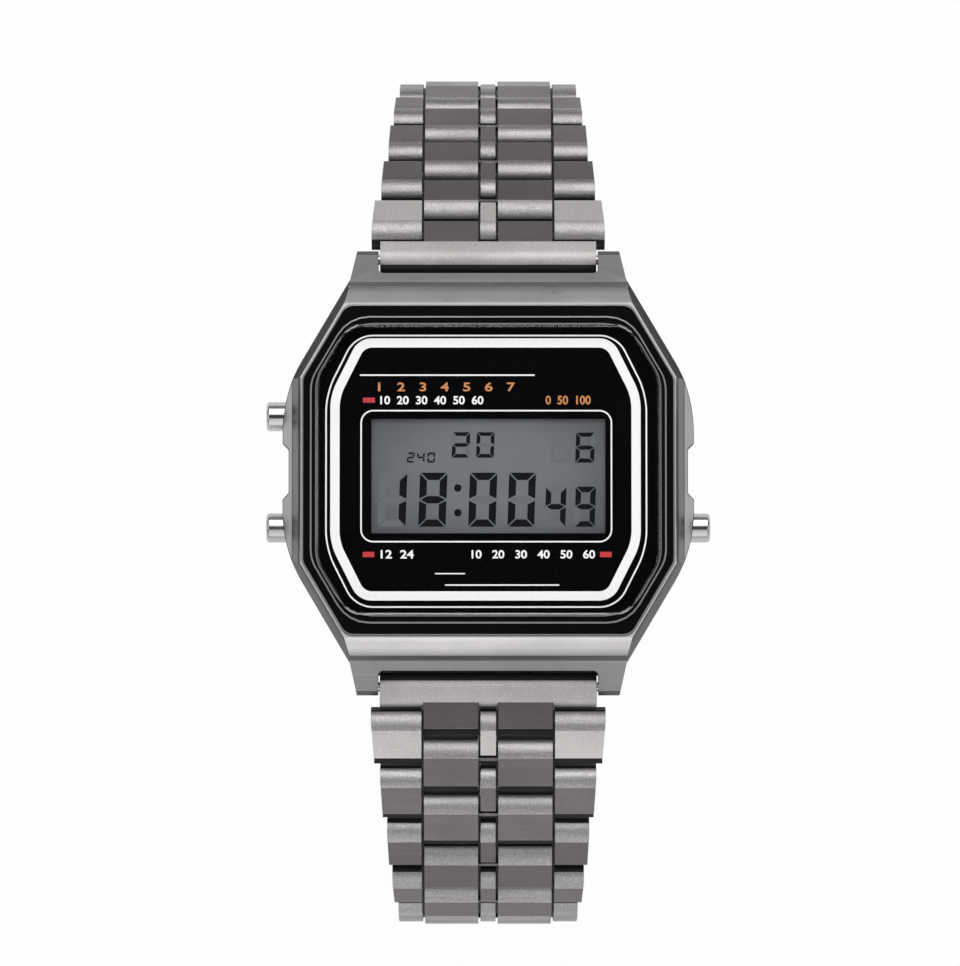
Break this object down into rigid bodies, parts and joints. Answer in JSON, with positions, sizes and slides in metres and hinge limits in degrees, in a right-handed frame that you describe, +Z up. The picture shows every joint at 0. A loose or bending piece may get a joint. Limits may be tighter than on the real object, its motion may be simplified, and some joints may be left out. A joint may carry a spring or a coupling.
{
  "type": "digital watch",
  "caption": "Digital wristwatch with an eight-sided steel case, black bezel, grey display, side buttons and a tapering steel link bracelet closed on its folding clasp.",
  "frame": {"origin": "on the outer face of the clasp cover, straight below the middle of the case", "axes": "+Z up through the dial, +Y towards twelve o'clock, +X towards three o'clock"},
  "size_m": [0.0366, 0.0725, 0.0415],
  "materials": {
    "case_steel": "fine brushed",
    "bezel_black": "gloss",
    "watch_glass": "clear",
    "panel_black": "gloss",
    "display_glass": "satin",
    "bright_steel": "polished",
    "pale_rubber": "matt",
    "white_plastic": "matt",
    "board_green": "satin",
    "black_plastic": "matt",
    "lamp_cream": "gloss",
    "brass": "satin",
    "black_rubber": "matt",
    "back_steel": "brushed",
    "button_steel": "polished",
    "strap_steel": "satin",
    "clasp_steel": "brushed"
  },
  "bodies": {
    "watch_case": {"case": "case_steel", "bezel": "bezel_black", "glass": "watch_glass", "face_panel": "panel_black", "display_cell": "display_glass", "reflector": "bright_steel", "contact_strips": "pale_rubber", "module_frame": "white_plastic", "circuit_board": "board_green", "processor_chip": "black_plastic", "quartz_crystal": "bright_steel", "lamp": "lamp_cream", "battery": "bright_steel", "battery_clamp": "bright_steel", "buzzer_disc": "brass", "case_gasket": "black_rubber", "case_back": "back_steel", "case_screws": "bright_steel", "spring_bars": "bright_steel", "button_seals": "black_rubber", "upper_left_spring": "bright_steel", "lower_left_spring": "bright_steel", "lower_right_spring": "bright_steel"},
    "upper_left_button": {"upper_left_button": "button_steel", "upper_left_clip": "bright_steel"},
    "lower_left_button": {"lower_left_button": "button_steel", "lower_left_clip": "bright_steel"},
    "lower_right_button": {"lower_right_button": "button_steel", "lower_right_clip": "bright_steel"},
    "upper_end_piece": {"upper_end_piece": "strap_steel"},
    "upper_row_1": {"upper_row_1": "strap_steel"},
    "upper_row_2": {"upper_row_2": "strap_steel"},
    "upper_row_3": {"upper_row_3": "strap_steel"},
    "upper_row_4": {"upper_row_4": "strap_steel"},
    "upper_row_5": {"upper_row_5": "strap_steel"},
    "upper_row_6": {"upper_row_6": "strap_steel"},
    "upper_row_7": {"upper_row_7": "strap_steel"},
    "upper_row_8": {"upper_row_8": "strap_steel"},
    "upper_row_9": {"upper_row_9": "strap_steel", "clasp_bar": "bright_steel"},
    "lower_end_piece": {"lower_end_piece": "strap_steel"},
    "lower_row_1": {"lower_row_1": "strap_steel"},
    "lower_row_2": {"lower_row_2": "strap_steel"},
    "lower_row_3": {"lower_row_3": "strap_steel"},
    "lower_row_4": {"lower_row_4": "strap_steel"},
    "lower_row_5": {"lower_row_5": "strap_steel"},
    "lower_row_6": {"lower_row_6": "strap_steel"},
    "lower_row_7": {"lower_row_7": "strap_steel"},
    "lower_row_8": {"lower_row_8": "strap_steel"},
    "lower_row_9": {"lower_row_9": "strap_steel"},
    "lower_row_10": {"lower_row_10": "strap_steel"},
    "lower_blade": {"lower_blade": "clasp_steel", "fold_pin": "bright_steel"},
    "middle_blade": {"middle_blade": "clasp_steel"},
    "clasp_cover": {"clasp_cover": "clasp_steel", "cover_pins": "bright_steel"}
  },
  "joints": [
    {"name": "upper_left_press", "type": "slide", "parent": "watch_case", "child": "upper_left_button", "axis": [1, 0, 0], "range_m": [0, 0.0009], "stiffness_N_per_m": 1500, "springref_m": -0.0005, "deforming": ["upper_left_spring"]},
    {"name": "lower_left_press", "type": "slide", "parent": "watch_case", "child": "lower_left_button", "axis": [1, 0, 0], "range_m": [0, 0.0009], "stiffness_N_per_m": 1500, "springref_m": -0.0005, "deforming": ["lower_left_spring"]},
    {"name": "lower_right_press", "type": "slide", "parent": "watch_case", "child": "lower_right_button", "axis": [-1, 0, 0], "range_m": [0, 0.0009], "stiffness_N_per_m": 1500, "springref_m": -0.0005, "deforming": ["lower_right_spring"]},
    {"name": "upper_end_piece_hinge", "type": "hinge", "parent": "watch_case", "child": "upper_end_piece", "pos_m": [0, 0.0177, 0.03549], "axis": [1, 0, 0], "range_deg": [0, 38]},
    {"name": "upper_row_1_hinge", "type": "hinge", "parent": "upper_end_piece", "child": "upper_row_1", "pos_m": [0, 0.01987, 0.03397], "axis": [1, 0, 0], "range_deg": [0, 9]},
    {"name": "upper_row_2_hinge", "type": "hinge", "parent": "upper_row_1", "child": "upper_row_2", "pos_m": [0, 0.0236, 0.03095], "axis": [1, 0, 0], "range_deg": [0, 9]},
    {"name": "upper_row_3_hinge", "type": "hinge", "parent": "upper_row_2", "child": "upper_row_3", "pos_m": [0, 0.02711, 0.02767], "axis": [1, 0, 0], "range_deg": [0, 9]},
    {"name": "upper_row_4_hinge", "type": "hinge", "parent": "upper_row_3", "child": "upper_row_4", "pos_m": [0, 0.03039, 0.02416], "axis": [1, 0, 0], "range_deg": [0, 18]},
    {"name": "upper_row_5_hinge", "type": "hinge", "parent": "upper_row_4", "child": "upper_row_5", "pos_m": [0, 0.03279, 0.02], "axis": [1, 0, 0], "range_deg": [0, 22]},
    {"name": "upper_row_6_hinge", "type": "hinge", "parent": "upper_row_5", "child": "upper_row_6", "pos_m": [0, 0.03386, 0.01533], "axis": [1, 0, 0], "range_deg": [0, 27.4]},
    {"name": "upper_row_7_hinge", "type": "hinge", "parent": "upper_row_6", "child": "upper_row_7", "pos_m": [0, 0.03308, 0.01059], "axis": [1, 0, 0], "range_deg": [0, 27.4]},
    {"name": "upper_row_8_hinge", "type": "hinge", "parent": "upper_row_7", "child": "upper_row_8", "pos_m": [0, 0.03055, 0.00651], "axis": [1, 0, 0], "range_deg": [0, 27.4]},
    {"name": "upper_row_9_hinge", "type": "hinge", "parent": "upper_row_8", "child": "upper_row_9", "pos_m": [0, 0.02665, 0.00371], "axis": [1, 0, 0], "range_deg": [0, 27.4]},
    {"name": "lower_end_piece_hinge", "type": "hinge", "parent": "watch_case", "child": "lower_end_piece", "pos_m": [0, -0.0177, 0.03549], "axis": [-1, 0, 0], "range_deg": [0, 11]},
    {"name": "lower_row_1_hinge", "type": "hinge", "parent": "lower_end_piece", "child": "lower_row_1", "pos_m": [0, -0.02032, 0.03512], "axis": [-1, 0, 0], "range_deg": [0, 13]},
    {"name": "lower_row_2_hinge", "type": "hinge", "parent": "lower_row_1", "child": "lower_row_2", "pos_m": [0, -0.02494, 0.03379], "axis": [-1, 0, 0], "range_deg": [0, 13]},
    {"name": "lower_row_3_hinge", "type": "hinge", "parent": "lower_row_2", "child": "lower_row_3", "pos_m": [0, -0.02932, 0.03184], "axis": [-1, 0, 0], "range_deg": [0, 18]},
    {"name": "lower_row_4_hinge", "type": "hinge", "parent": "lower_row_3", "child": "lower_row_4", "pos_m": [0, -0.03316, 0.02895], "axis": [-1, 0, 0], "range_deg": [0, 28]},
    {"name": "lower_row_5_hinge", "type": "hinge", "parent": "lower_row_4", "child": "lower_row_5", "pos_m": [0, -0.03556, 0.0248], "axis": [-1, 0, 0], "range_deg": [0, 25]},
    {"name": "lower_row_6_hinge", "type": "hinge", "parent": "lower_row_5", "child": "lower_row_6", "pos_m": [0, -0.03639, 0.02007], "axis": [-1, 0, 0], "range_deg": [0, 21]},
    {"name": "lower_row_7_hinge", "type": "hinge", "parent": "lower_row_6", "child": "lower_row_7", "pos_m": [0, -0.03589, 0.0153], "axis": [-1, 0, 0], "range_deg": [0, 21]},
    {"name": "lower_row_8_hinge", "type": "hinge", "parent": "lower_row_7", "child": "lower_row_8", "pos_m": [0, -0.03409, 0.01085], "axis": [-1, 0, 0], "range_deg": [0, 21]},
    {"name": "lower_row_9_hinge", "type": "hinge", "parent": "lower_row_8", "child": "lower_row_9", "pos_m": [0, -0.03114, 0.00706], "axis": [-1, 0, 0], "range_deg": [0, 21]},
    {"name": "lower_row_10_hinge", "type": "hinge", "parent": "lower_row_9", "child": "lower_row_10", "pos_m": [0, -0.02725, 0.00424], "axis": [-1, 0, 0], "range_deg": [0, 21]},
    {"name": "lower_blade_hinge", "type": "hinge", "parent": "lower_row_10", "child": "lower_blade", "pos_m": [0, -0.02274, 0.0026], "axis": [-1, 0, 0], "range_deg": [0, 40]},
    {"name": "middle_blade_hinge", "type": "hinge", "parent": "lower_blade", "child": "middle_blade", "pos_m": [0, 0.01548, 0.00205], "axis": [1, 0, 0], "range_deg": [0, 150]},
    {"name": "clasp_cover_hinge", "type": "hinge", "parent": "middle_blade", "child": "clasp_cover", "pos_m": [0, -0.01929, 0.00205], "axis": [-1, 0, 0], "range_deg": [0, 120]}
  ]
}
